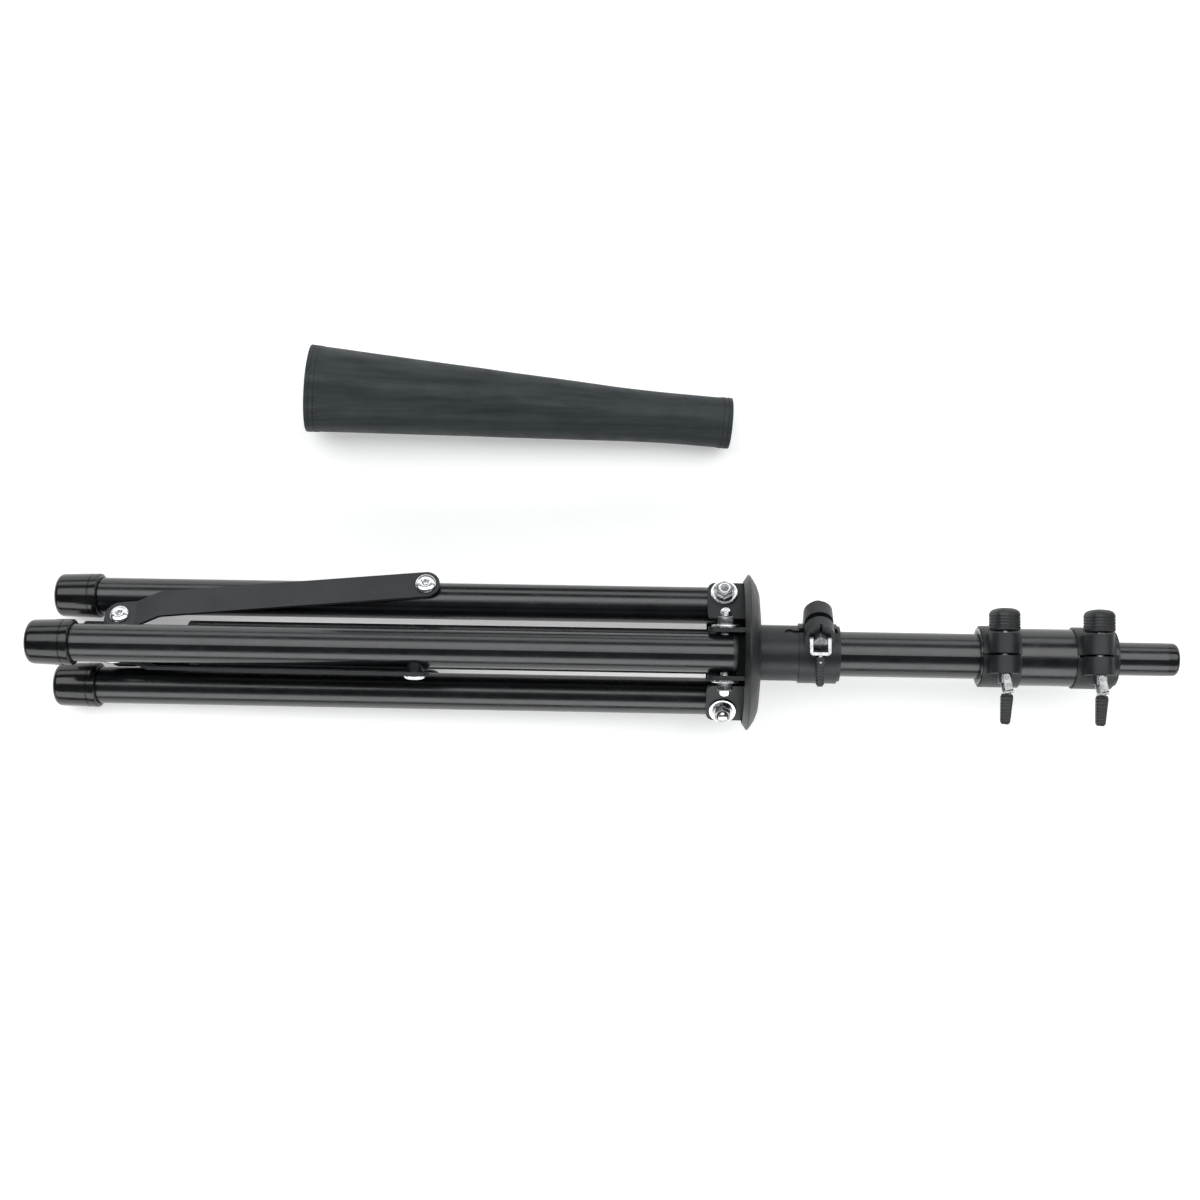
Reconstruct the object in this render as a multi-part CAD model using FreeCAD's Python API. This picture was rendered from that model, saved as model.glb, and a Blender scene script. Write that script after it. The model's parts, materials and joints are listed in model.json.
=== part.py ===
import FreeCAD, Part
import math
import os

from FreeCAD import Placement, Rotation, Vector

# A folded tripod stand with a telescoping mast, lying on a table beside its slip-on tapered sleeve.
# The stand is drawn along its mast: X runs from the feet (-X) to the top tube (+X), X = 0 is the
# plane of the leg bolts, and Z points at leg 1. At the end it is laid down on its hub rim and two feet.
# All lengths are millimetres and all angles degrees.

# Tubes
legRadius = 12.5
legWall = 1.2
mastRadius = 15.0
mastWall = 1.5
topRadius = 11.0
topWall = 1.2

# Tripod linkage
legAxisRadius = 35.5
legLength = 457.0
legTopEnd = 5.0
legPlugDome = 4.0
legPlugDepth = 8.0
bracePivotX = -201.5
bracePivotRadius = 38.7
collarPivotX = -408.5
collarPivotRadius = 14.4
linerClearance = 1.2

# Foot caps
footCapRadius = 14.75
footCapLength = 29.5
footCapDome = 5.0
footCapEnd = 4.0
capRingWidth = 1.0
capRingDepth = 0.5
capRingBack = 5.5
capLipChamfer = 0.8

# Braces
braceWidth = 19.0
braceThickness = 2.2
braceLowFace = 9.5
braceHighFace = 15.3
joggleStart = -397.0
joggleEnd = -380.0
joggleSkew = 0.6
braceCrank = 3.0
bodyGap = 0.3

# Pins, bolts and rivets
pinRadius = 3.0
pinFit = 0.05
loosePivotFit = 1.75
rivetHeadRadius = 7.2
rivetHeadHeight = 2.6
rivetBulbRadius = 4.4
rivetBulbStart = 4.5
rivetBulbEnd = 7.6
spacerRadius = 5.6
spacerStart = 9.0
collarHeadRadius = 6.6
collarHeadHeight = 2.4
washerRadius = 9.0
washerThickness = 1.8
nutFlats = 10.0
nutHeight = 5.4
boltPastNut = 3.4
boltHeadHeight = 5.4
smallShankRadius = 1.7
smallHeadRadius = 3.9
smallHeadHeight = 1.9
smallTailRadius = 2.1

# Hub
hubRimRadius = 52.0
hubFrontX = 12.6
hubRimX = 15.6
hubFrontRadius = 47.6
hubBackPoints = [(16.6, 51.6), (18.4, 49.2), (20.8, 45.2), (22.6, 40.2), (23.6, 30.0), (24.0, 18.5)]
hubInnerPoints = [(21.8, 18.5), (21.4, 30.0), (20.6, 38.6), (18.9, 43.2), (16.4, 46.2), (15.0, 46.4)]
hubBaseX = 19.3
neckRadius = 18.5
neckWall = 1.2
neckEnd = 75.0
neckSlotLength = 32.0
keyholeRadius = 3.0
earGap = 14.2
earThickness = 2.8
earHeight = 43.5
earFront = -11.0
webThickness = 2.0
bracketRivetRadius = 20.4
bracketRivetX = 1.0

# Mast ends and the coupling
mastBottom = -354.0
mastTop = 226.0
collarBottom = -434.0
collarRadius = 13.5
collarWaist = 9.0
collarPlug = 22.0
lugHalfLength = 11.0
lugThickness = 5.5
lugReach = 22.5
couplingRadius = 19.0
couplingBore = 17.0
couplingStart = 168.0
couplingEnd = 256.0
couplingSlotLength = 22.0
reducerStart = 234.0
linerBack = 8.0
topTubeStart = -171.0
topEnd = 299.0
topCapLength = 8.0
topCapFillet = 3.2
topCapStep = 0.1
topPlugDepth = 12.0
stopGroove = [257.7, 259.0]
stopGrooveDepth = 0.5
guideLength = 8.0
guidePlug = 14.0

# Clamps
clampAngle = [51.0, 5.0, 5.0]
clampCentre = [62.0, 181.5, 242.5]
bandLength = 25.0
bandThickness = 1.4
clampAxisRadius = 24.5
earHalfWidth = 9.6
earReachCap = 13.8
earReachLever = 12.2
earSlotWidth = 1.8
earSlotDepth = 2.4
neckSlotHalf = 1.6
splitWidth = [4.4, 1.6, 1.6]
capRadius = [6.2, 10.0, 10.0]
capGap = [0.8, 1.6, 1.6]
capLength = [5.5, 15.0, 15.0]
capFillet = [2.4, 4.2, 4.2]
capNeckRadius = [5.4, 7.4, 7.4]
capWall = 2.4
leverPinY = 15.1
leverPinRadius = 1.5
leverPinPast = 0.4
eyeRadius = 4.6
eyeFit = 0.3
forkHalfWidth = 6.9
forkThickness = 2.0
forkDepth = 4.6
forkLength = 10.4
forkCorner = 2.4
stemRadius = 1.8
stemLength = 5.0
handleLength = 19.5
handleCrank = 17.0
handleOffset = -1.0
handleWidth = 7.8
handleTaper = 0.8
leverLean = [-40.0, 13.0, 13.0]

# Tapered sleeve
sleeveLength = 289.0
sleeveNeckLength = 55.0
sleeveMouthRadius = 29.6
sleeveNeckRadius = 17.5
sleeveWall = 2.2
sleeveBead = 0.3
sleeveBeadWidth = 2.4
sleeveBlend = 14.0
sleeveMouthX = -283.5
sleeveMouthY = 174.5
sleeveYaw = -3.6

farSide = 30.0
legAngles = [0.0, -120.0, 120.0]
xAxis = Vector(1, 0, 0)
yAxis = Vector(0, 1, 0)
zAxis = Vector(0, 0, 1)
shapes = {}


# ---- small helpers ----

def rod(radius, start, end, y=0.0, z=0.0):
    """Cylinder along X between two X positions."""
    return Part.makeCylinder(radius, end - start, Vector(start, y, z), xAxis)


def tube(outer, inner, start, end, y=0.0, z=0.0):
    """Tube along X between two X positions."""
    bore = rod(inner, start - 1, end + 1, y, z)
    return rod(outer, start, end, y, z).cut(bore)


def crossRod(radius, start, end, x, z):
    """Cylinder across the mast, between two distances on leg 1's brace side (-Y)."""
    return Part.makeCylinder(radius, end - start, Vector(x, -start, z), -yAxis)


def boxBetween(low, high):
    """Box between two opposite corners."""
    size = Vector(*high) - Vector(*low)
    return Part.makeBox(size.x, size.y, size.z, Vector(*low))


def turned(outline):
    """Solid of revolution about X from (x, radius) points and arcs given as three-point lists."""
    edges = []
    for step in outline:
        points = [Vector(x, 0, r) for x, r in step]
        if len(points) == 2:
            edges.append(Part.LineSegment(points[0], points[1]).toShape())
        else:
            edges.append(Part.Arc(points[0], points[1], points[2]).toShape())
    face = Part.Face(Part.Wire(edges))
    return face.revolve(Vector(), xAxis, 360)


def polygonPath(points):
    """Closed outline of straight steps through (x, radius) points."""
    return [[points[i], points[(i + 1) % len(points)]] for i in range(len(points))]


def about(shape, angle):
    """Copy of a shape turned about the mast axis."""
    copy = shape.copy()
    copy.rotate(Vector(), xAxis, angle)
    return copy


def hexPrism(flats, start, end, x, z):
    """Hexagonal nut or head across the mast, with chamfered corners."""
    corner = flats / math.sqrt(3)
    points = []
    for i in range(7):
        angle = math.radians(60 * i)
        points.append(Vector(x + corner * math.cos(angle), -start, z + corner * math.sin(angle)))
    prism = Part.Face(Part.makePolygon(points)).extrude(Vector(0, start - end, 0))
    height = end - start
    cone = Part.makeCone(corner + height, corner - 0.7, height + 0.7, Vector(x, -start, z), -yAxis)
    return prism.common(cone)


def domedHead(radius, height, start, x, z):
    """Round rivet head standing out on the brace side, with its edge rounded over."""
    head = crossRod(radius, start, start + height, x, z)
    face = -start - height
    outer = [e for e in head.Edges if abs(e.BoundBox.YMin - face) < 0.01 and e.BoundBox.YLength < 0.01]
    return head.makeFillet(height * 0.75, outer)


def flatEdges(shape, x):
    """Edges of a shape that lie wholly in the plane at one X position."""
    return [e for e in shape.Edges if abs(e.BoundBox.XMin - x) < 0.01 and e.BoundBox.XLength < 0.01]


# ---- legs ----

def makeLeg(index):
    """Leg tube, foot cap, top plug, brace rivet and spacer of one leg, in leg 1's place."""
    footX = -legLength
    tubeStart = footX + footCapEnd
    leg = tube(legRadius, legRadius - legWall, tubeStart, legTopEnd, z=legAxisRadius)
    hinge = pinRadius + (pinFit if index == 0 else loosePivotFit)
    hingeHole = crossRod(hinge, -farSide, farSide, 0, legAxisRadius)
    braceHole = crossRod(pinRadius, 0, farSide, bracePivotX, bracePivotRadius)
    leg = leg.cut(hingeHole).cut(braceHole)

    capOpen = footX + footCapLength
    bend = footCapDome * (1 - math.sqrt(0.5))
    ringEnd = capOpen - capRingBack
    ringStart = ringEnd - capRingWidth
    ringMiddle = ringEnd - capRingWidth / 2
    capOutline = [
        [(footX, 0), (footX, footCapRadius - footCapDome)],
        [(footX, footCapRadius - footCapDome), (footX + bend, footCapRadius - bend),
         (footX + footCapDome, footCapRadius)],
        [(footX + footCapDome, footCapRadius), (ringStart, footCapRadius)],
        [(ringStart, footCapRadius), (ringMiddle, footCapRadius - capRingDepth)],
        [(ringMiddle, footCapRadius - capRingDepth), (ringEnd, footCapRadius)],
        [(ringEnd, footCapRadius), (capOpen - capLipChamfer, footCapRadius)],
        [(capOpen - capLipChamfer, footCapRadius), (capOpen, footCapRadius - capLipChamfer)],
        [(capOpen, footCapRadius - capLipChamfer), (capOpen, legRadius)],
        [(capOpen, legRadius), (tubeStart, legRadius)],
        [(tubeStart, legRadius), (tubeStart, 0)],
        [(tubeStart, 0), (footX, 0)],
    ]
    cap = turned(capOutline).translated(Vector(0, 0, legAxisRadius))

    plugBody = rod(legRadius - legWall, -legPlugDepth, legTopEnd, z=legAxisRadius)
    dome = rod(legRadius, legTopEnd, legTopEnd + legPlugDome, z=legAxisRadius)
    rim = flatEdges(dome, legTopEnd + legPlugDome)
    plug = plugBody.fuse(dome.makeFillet(legPlugDome - 0.5, rim)).removeSplitter().cut(hingeHole)

    headStart = braceHighFace + braceThickness + bodyGap
    shank = crossRod(pinRadius, rivetBulbStart, headStart, bracePivotX, bracePivotRadius)
    head = domedHead(rivetHeadRadius, rivetHeadHeight, headStart, bracePivotX, bracePivotRadius)
    bulb = crossRod(rivetBulbRadius, rivetBulbStart, rivetBulbEnd, bracePivotX, bracePivotRadius)
    rivet = shank.fuse(head).fuse(bulb).removeSplitter()

    spacer = crossRod(spacerRadius, spacerStart, braceHighFace - bodyGap, bracePivotX, bracePivotRadius)
    spacer = spacer.cut(rod(legRadius, bracePivotX - farSide, bracePivotX + farSide, z=legAxisRadius))
    spacer = spacer.cut(crossRod(pinRadius, 0, farSide, bracePivotX, bracePivotRadius))

    pieces = {"leg_tube": leg, "foot_cap": cap, "leg_plug": plug, "brace_rivet": rivet,
              "rivet_spacer": spacer}
    for name, shape in pieces.items():
        shapes[name + "_" + str(index + 1)] = about(shape, legAngles[index])


# ---- braces ----

def braceCentreline():
    """In-plane points of the strap from the collar pivot to the leg pivot, as (x, radius)."""
    slope = (bracePivotRadius - collarPivotRadius - braceCrank) / (bracePivotX - collarPivotX)
    startRadius = collarPivotRadius + slope * (joggleStart - collarPivotX)
    endRadius = collarPivotRadius + braceCrank + slope * (joggleEnd - collarPivotX)
    return [(collarPivotX, collarPivotRadius), (joggleStart, startRadius), (joggleEnd, endRadius),
            (bracePivotX, bracePivotRadius)]


def strapOutline(points, width):
    """Flat outline of a strap of one width round a bent centreline, 60 mm deep across the mast."""
    outline = None
    for i, (x, r) in enumerate(points):
        disc = crossRod(width / 2, -10, 50, x, r)
        outline = disc if outline is None else outline.fuse(disc)
        if i == 0:
            continue
        x0, r0 = points[i - 1]
        length = math.hypot(x - x0, r - r0)
        run = Part.makeBox(length, 60, width, Vector(0, -50, -width / 2))
        run.rotate(Vector(), yAxis, -math.degrees(math.atan2(r - r0, x - x0)))
        outline = outline.fuse(run.translated(Vector(x0, 0, r0)))
    return outline


def makeBrace(index):
    """One bent flat strap, pivoted on the collar lug and on the leg's rivet."""
    outline = strapOutline(braceCentreline(), braceWidth)
    left = collarPivotX - braceWidth
    right = bracePivotX + braceWidth
    low = -braceLowFace
    high = -braceHighFace
    edgeOn = [(left, low), (joggleStart, low), (joggleEnd, high), (right, high),
              (right, high - braceThickness), (joggleEnd - joggleSkew, high - braceThickness),
              (joggleStart - joggleSkew, low - braceThickness), (left, low - braceThickness)]
    points = [Vector(x, y, -10) for x, y in edgeOn]
    sheet = Part.Face(Part.makePolygon(points + [points[0]])).extrude(Vector(0, 0, 80))
    strap = sheet.common(outline)
    strap = strap.cut(crossRod(pinRadius + pinFit, 0, farSide, collarPivotX, collarPivotRadius))
    strap = strap.cut(crossRod(pinRadius + pinFit, 0, farSide, bracePivotX, bracePivotRadius))
    shapes["brace_" + str(index + 1)] = about(strap.removeSplitter(), legAngles[index])


# ---- mast and collar ----

def makeMast():
    """Mast tube, the die-cast collar plugged into its foot, and the collar's rivets."""
    shapes["mast_tube"] = tube(mastRadius, mastRadius - mastWall, mastBottom, mastTop)

    boreRadius = mastRadius - mastWall
    lugEnd = collarPivotX + lugHalfLength
    lugStart = collarPivotX - lugHalfLength
    body = turned(polygonPath([
        (collarBottom, 0), (collarBottom, collarRadius - 2), (collarBottom + 2, collarRadius),
        (lugStart, collarRadius), (lugStart + 2, collarWaist), (mastBottom - 8, collarWaist),
        (mastBottom - 6, mastRadius), (mastBottom, mastRadius), (mastBottom, boreRadius),
        (mastBottom + collarPlug, boreRadius), (mastBottom + collarPlug, 0)]))
    rivets = []
    faceY = braceLowFace - bodyGap
    lugBack = faceY - lugThickness
    for angle in legAngles:
        lug = boxBetween((lugStart, -faceY, 0), (lugEnd, -lugBack, lugReach))
        corners = [e for e in lug.Edges if e.BoundBox.YLength > 5 and e.BoundBox.ZMin > 20]
        lug = lug.makeFillet(6.0, corners)
        body = body.fuse(about(lug, angle))
        outer = braceLowFace + braceThickness + bodyGap
        shank = crossRod(pinRadius, lugBack, outer, collarPivotX, collarPivotRadius)
        head = domedHead(collarHeadRadius, collarHeadHeight, outer, collarPivotX, collarPivotRadius)
        rivets.append(about(shank.fuse(head).removeSplitter(), angle))
    for angle in legAngles:
        hole = crossRod(pinRadius, lugBack, farSide, collarPivotX, collarPivotRadius)
        body = body.cut(about(hole, angle))
    shapes["mast_collar"] = body.removeSplitter()
    shapes["collar_rivets"] = Part.makeCompound(rivets)


# ---- hub ----

def keyholeSlot(start, end, angle):
    """Cutter for a slot along the mast through one wall, with a round hole at its inner end."""
    slot = boxBetween((min(start, end), -neckSlotHalf, 10), (max(start, end), neckSlotHalf, farSide))
    return about(slot.fuse(Part.makeCylinder(keyholeRadius, 20, Vector(start, 0, 10), zAxis)), -angle)


def makeHub():
    """Domed hub plate, its slotted neck with a liner, and one bracket with its fasteners per leg."""
    front = [(hubFrontX, hubFrontRadius - 1.4), (hubFrontX, hubFrontRadius), (hubRimX, hubRimRadius)]
    hubDisc = turned(polygonPath(front + hubBackPoints + hubInnerPoints))
    shapes["hub_disc"] = hubDisc

    neckInner = neckRadius - neckWall
    neck = tube(neckRadius, neckInner, hubBaseX, neckEnd)
    shapes["hub_neck"] = neck.cut(keyholeSlot(neckEnd - neckSlotLength, neckEnd + 1, clampAngle[0]))
    liner = tube(neckInner, mastRadius + linerClearance, hubBaseX + 2, neckEnd)
    flange = tube(neckRadius, mastRadius + linerClearance, neckEnd, neckEnd + 1.5)
    shapes["neck_liner"] = liner.fuse(flange).removeSplitter()

    fasteners = {"leg_bolts": [], "leg_washers": [], "leg_nuts": [], "bracket_rivets": []}
    for index, angle in enumerate(legAngles):
        shapes["leg_bracket_" + str(index + 1)] = about(makeBracket(hubDisc), angle)
        for name, solids in makeFasteners().items():
            fasteners[name] += [about(solid, angle) for solid in solids]
    for name, solids in fasteners.items():
        shapes[name] = Part.makeCompound(solids)


def makeBracket(hubDisc):
    """Pressed bracket with two ears, a web over the mast and a base on the hub plate."""
    webLow = mastRadius + linerClearance
    ears = []
    for side in (-1, 1):
        faces = (side * earGap, side * (earGap + earThickness))
        ear = boxBetween((earFront, min(faces), webLow), (hubBaseX + 2, max(faces), earHeight))
        front = [e for e in ear.Edges if e.BoundBox.YLength > 1 and e.BoundBox.XMax < earFront + 1]
        ears.append(ear.makeFillet(5.0, front))
    web = boxBetween((earFront + 6, -earGap, webLow), (hubBaseX, earGap, webLow + webThickness))
    base = boxBetween((hubBaseX - 2, -earGap, webLow + webThickness + 1), (hubBaseX, earGap, earHeight))
    bracket = ears[0].fuse(ears[1]).fuse(web).fuse(base)
    bracket = bracket.cut(rod(neckRadius, hubBaseX - 5, hubBaseX + 5)).cut(hubDisc)
    solids = sorted(bracket.Solids, key=lambda solid: solid.Volume)
    bracket = solids[-1]
    bracket = bracket.cut(crossRod(pinRadius, -farSide, farSide, 0, legAxisRadius))
    for side in (-1, 1):
        ends = (side * (earGap - 1.6), side * (earGap + earThickness))
        hole = crossRod(smallShankRadius, min(ends), max(ends), bracketRivetX, bracketRivetRadius)
        bracket = bracket.cut(hole)
    return bracket.removeSplitter()


def makeFasteners():
    """Hinge bolt, two washers and nut of one leg, with a small rivet in each bracket ear."""
    earOuter = earGap + earThickness
    washerEnd = earOuter + washerThickness
    hinge = crossRod(pinRadius, -farSide, farSide, 0, legAxisRadius)

    head = domedHead(smallHeadRadius, smallHeadHeight, earOuter, bracketRivetX, bracketRivetRadius)
    shank = crossRod(smallShankRadius, earGap, earOuter, bracketRivetX, bracketRivetRadius)
    tail = crossRod(smallTailRadius, earGap - 1.0, earGap, bracketRivetX, bracketRivetRadius)
    rivet = shank.fuse(head).fuse(tail).removeSplitter()

    washer = crossRod(washerRadius, earOuter, washerEnd, 0, legAxisRadius).cut(hinge)
    boltEnd = washerEnd + nutHeight + boltPastNut
    shank = crossRod(pinRadius, -boltEnd, washerEnd, 0, legAxisRadius)
    head = hexPrism(nutFlats, washerEnd, washerEnd + boltHeadHeight, 0, legAxisRadius)
    nut = hexPrism(nutFlats, washerEnd, washerEnd + nutHeight, 0, legAxisRadius)
    nut = nut.mirror(Vector(), yAxis).cut(hinge)
    return {"leg_bolts": [shank.fuse(head).removeSplitter()],
            "leg_washers": [washer, washer.mirror(Vector(), yAxis)],
            "leg_nuts": [nut],
            "bracket_rivets": [rivet, rivet.mirror(Vector(), yAxis)]}


# ---- coupling and top tube ----

def makeCoupling():
    """Coupling sleeve with a liner for the mast tube and a reducer for the top tube."""
    sleeve = tube(couplingRadius, couplingBore, couplingStart, couplingEnd)
    lowSlot = keyholeSlot(couplingStart + couplingSlotLength, couplingStart - 1, clampAngle[1])
    highSlot = keyholeSlot(couplingEnd - couplingSlotLength, couplingEnd + 1, clampAngle[2])
    shapes["coupling_sleeve"] = sleeve.cut(lowSlot).cut(highSlot)
    shapes["coupling_liner"] = tube(couplingBore, mastRadius + pinFit, couplingStart, mastTop - linerBack)
    reducer = tube(couplingBore, topRadius + pinFit, reducerStart, couplingEnd)
    flange = tube(couplingRadius - 0.8, topRadius + pinFit, couplingEnd, couplingEnd + 1.6)
    shapes["reducer_bush"] = reducer.fuse(flange).removeSplitter()


def makeTopTube():
    """Telescoping top tube, its rounded cap and the guide plug that keeps it central in the mast."""
    tubeEnd = topEnd - topCapLength
    inner = topRadius - topWall
    pipe = tube(topRadius, inner, topTubeStart, tubeEnd)
    groove = tube(topRadius + 1, topRadius - stopGrooveDepth, stopGroove[0], stopGroove[1])
    shapes["top_tube"] = pipe.cut(groove)
    cap = rod(topRadius - topCapStep, tubeEnd, topEnd)
    cap = cap.makeFillet(topCapFillet, flatEdges(cap, topEnd))
    shapes["top_cap"] = cap.fuse(rod(inner, tubeEnd - topPlugDepth, tubeEnd)).removeSplitter()
    guide = rod(mastRadius - mastWall - bodyGap, topTubeStart - guideLength, topTubeStart)
    shapes["top_tube_guide"] = guide.fuse(rod(inner, topTubeStart, topTubeStart + guidePlug)).removeSplitter()


# ---- clamps ----

def makeClamp(index, inner):
    """Split band, nut cap, screw and cranked lever of one clamp, with its ears first drawn on +Z."""
    centre = clampCentre[index]
    start = centre - bandLength / 2
    end = centre + bandLength / 2
    axisZ = clampAxisRadius
    splitHalf = splitWidth[index] / 2
    band = rod(inner + bandThickness, start, end)
    for y0, y1 in ((0, earReachCap), (-earReachLever, 0)):
        ear = boxBetween((centre - earHalfWidth, y0, 0), (centre + earHalfWidth, y1, axisZ))
        band = band.fuse(ear).fuse(crossRod(earHalfWidth, -y1, -y0, centre, axisZ))
    band = band.removeSplitter()
    band = band.cut(rod(inner, start - 1, end + 1))
    band = band.cut(boxBetween((start - 1, -splitHalf, 0), (end + 1, splitHalf, 2 * farSide)))
    band = band.cut(crossRod(pinRadius + pinFit, -farSide, farSide, centre, axisZ))
    slotHalf = earSlotWidth / 2
    if index == 0:
        slot = boxBetween((centre - slotHalf, -earReachLever, axisZ),
                          (centre + slotHalf, -earReachLever + earSlotDepth, axisZ + farSide))
        band = band.cut(slot)

    capStart = earReachCap + capGap[index]
    capEnd = capStart + capLength[index]
    boreEnd = capEnd - capWall
    cap = crossRod(capRadius[index], -capEnd, -capStart, centre, axisZ)
    outer = [e for e in cap.Edges if abs(e.BoundBox.YMax - capEnd) < 0.01 and e.BoundBox.YLength < 0.01]
    cap = cap.makeFillet(capFillet[index], outer)
    neck = crossRod(capNeckRadius[index], -capStart, -earReachCap, centre, axisZ)
    cap = cap.fuse(neck).removeSplitter()
    cap = cap.cut(crossRod(pinRadius + pinFit, -boreEnd, 0, centre, axisZ))

    shank = crossRod(pinRadius, -boreEnd + 0.5, leverPinY - 1.8, centre, axisZ)
    eye = crossRod(eyeRadius, earReachLever + eyeFit, leverPinY + 3.4, centre, axisZ)
    halfEye = forkHalfWidth - forkThickness - eyeFit
    eyeBox = boxBetween((centre - farSide, -farSide, axisZ - halfEye), (centre + farSide, 0, axisZ + halfEye))
    bolt = shank.fuse(eye.common(eyeBox)).removeSplitter()
    pinSpan = 2 * (forkHalfWidth + leverPinPast)
    pinAt = Vector(centre, -leverPinY, axisZ - pinSpan / 2)
    pin = Part.makeCylinder(leverPinRadius, pinSpan, pinAt, zAxis)
    bolt = bolt.cut(pin)

    fork, handle = makeLever(Vector(centre, -leverPinY, axisZ))
    pieces = {"clamp_bolt": bolt, "lever_pin": pin, "lever_fork": fork, "lever_handle": handle}
    for name in ("lever_fork", "lever_handle"):
        pieces[name].rotate(Vector(centre, -leverPinY, axisZ), zAxis, leverLean[index])
    if index == 0:
        for shape in pieces.values():
            shape.rotate(Vector(centre, 0, axisZ), yAxis, -90)
    pieces["clamp_band"] = band
    pieces["clamp_cap"] = cap
    for name, shape in pieces.items():
        shapes[name + "_" + str(index + 1)] = about(shape, -clampAngle[index])


def makeLever(pivot):
    """Bright U fork and its cranked grip, pointing along -Y from the pivot, with the pin on Z."""
    half = forkHalfWidth
    depth = forkDepth / 2
    outline = boxBetween((-depth, -forkLength, -half), (depth, 0, half))
    corners = [e for e in outline.Edges if e.BoundBox.XLength > depth and e.BoundBox.YMax < -forkLength + 0.1]
    outline = outline.makeFillet(forkCorner, corners)
    outline = outline.fuse(Part.makeCylinder(depth, 2 * half, Vector(0, 0, -half), zAxis))
    innerHalf = half - forkThickness
    gap = boxBetween((-forkDepth, -forkLength + forkThickness, -innerHalf), (forkDepth, forkDepth, innerHalf))
    fork = outline.cut(gap)
    fork = fork.cut(Part.makeCylinder(leverPinRadius + pinFit, 4 * half, Vector(0, 0, -2 * half), zAxis))
    stem = Part.makeCylinder(stemRadius, stemLength, Vector(0, -forkLength, 0), -yAxis)
    fork = fork.fuse(stem).removeSplitter()

    wide = handleWidth / 2
    narrow = wide - handleTaper
    length = handleLength
    grip = Part.makeLoft([gripSection(0, wide - 0.5), gripSection(2, wide), gripSection(length - 1.5, narrow),
                          gripSection(length, narrow - 1.0)], True, True)
    grip.rotate(Vector(), zAxis, -handleCrank)
    grip = grip.translated(Vector(handleOffset, -forkLength - 0.2, 0))
    grip = grip.cut(stem).cut(fork)
    fork.translate(pivot)
    grip.translate(pivot)
    return fork, grip


def gripSection(distance, half):
    """Rounded rectangle across the grip, a distance down it from the fork."""
    deep = half * 0.82
    plate = boxBetween((-half, -distance, -deep), (half, -distance + 1, deep))
    edges = [e for e in plate.Edges if e.BoundBox.YLength > 0.5]
    rounded = plate.makeFillet(deep * 0.55, edges)
    face = [f for f in rounded.Faces if abs(f.CenterOfMass.y + distance) < 1e-6][0]
    return face.OuterWire


# ---- tapered sleeve ----

def makeSleeve():
    """Hollow cone with a straight neck and a slight bead at each rim, along X from its mouth."""
    kink = sleeveLength - sleeveNeckLength
    beadTurn = sleeveBeadWidth + 1.5
    slope = (sleeveMouthRadius - sleeveNeckRadius) / kink
    blendRadius = sleeveNeckRadius + slope * sleeveBlend
    outer = [(0, sleeveMouthRadius + sleeveBead), (sleeveBeadWidth, sleeveMouthRadius + sleeveBead),
             (beadTurn, sleeveMouthRadius - slope * beadTurn), (kink - sleeveBlend, blendRadius),
             (kink, sleeveNeckRadius + slope * sleeveBlend / 4), (kink + sleeveBlend, sleeveNeckRadius),
             (sleeveLength - beadTurn, sleeveNeckRadius),
             (sleeveLength - sleeveBeadWidth, sleeveNeckRadius + sleeveBead),
             (sleeveLength, sleeveNeckRadius + sleeveBead)]
    boreEnd = sleeveNeckRadius - sleeveWall
    inner = [(sleeveLength, boreEnd), (kink, boreEnd), (0, sleeveMouthRadius - sleeveWall)]
    return turned(polygonPath(outer + inner))


# ---- lying on the table ----

footLow = legAxisRadius * 0.5 + footCapRadius
restFootX = -legLength + footCapDome
restRimX = hubRimX


def lowestSlope():
    """Angle that brings the hub rim and the two lower feet to the table together."""
    return math.degrees(math.atan2(hubRimRadius - footLow, restRimX - restFootX))


def standPlacement():
    """Placement that lays the folded stand on the table, with the hub end of the mast raised."""
    slope = math.radians(lowestSlope())
    drop = hubRimRadius * math.cos(slope) - restRimX * math.sin(slope)
    return Placement(Vector(0, 0, drop), Rotation(yAxis, -lowestSlope()))


def sleevePlacement():
    """Placement that lays the sleeve on its two rims beside the stand."""
    mouth = sleeveMouthRadius + sleeveBead
    neck = sleeveNeckRadius + sleeveBead
    slope = math.atan2(mouth - neck, sleeveLength - sleeveBeadWidth)
    pitch = math.degrees(slope)
    height = mouth * math.cos(slope) + sleeveBeadWidth * math.sin(slope)
    turn = Rotation(zAxis, sleeveYaw).multiply(Rotation(yAxis, pitch))
    return Placement(Vector(sleeveMouthX, sleeveMouthY, height), turn)


def build():
    """Make every piece, lay the stand and sleeve down, and centre the origin under them."""
    for index in range(3):
        makeLeg(index)
        makeBrace(index)
    makeMast()
    makeHub()
    makeCoupling()
    makeTopTube()
    makeClamp(0, neckRadius)
    makeClamp(1, couplingRadius)
    makeClamp(2, couplingRadius)
    lay = standPlacement()
    for name in shapes:
        shapes[name].Placement = lay.multiply(shapes[name].Placement)
    cone = makeSleeve()
    cone.Placement = sleevePlacement()
    shapes["tapered_sleeve"] = cone

    bounds = FreeCAD.BoundBox()
    for shape in shapes.values():
        bounds.add(shape.optimalBoundingBox(False))
    origin = Vector(-bounds.Center.x, -bounds.Center.y, -bounds.ZMin)
    for shape in shapes.values():
        shape.translate(origin)
    return origin


originShift = build()
os.makedirs("parts", exist_ok=True)
for name, shape in shapes.items():
    solids = shape.Solids
    assert solids and shape.isValid(), name
    kept = solids[0] if len(solids) == 1 else Part.makeCompound(solids)
    kept.exportStep("parts/" + name + ".step")
    print(name, len(solids), round(shape.Volume, 1))
print("table slope", round(lowestSlope(), 3), "origin shift", originShift)
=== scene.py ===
import json
import math

import bmesh
import bpy
from mathutils import Matrix, Vector


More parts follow.
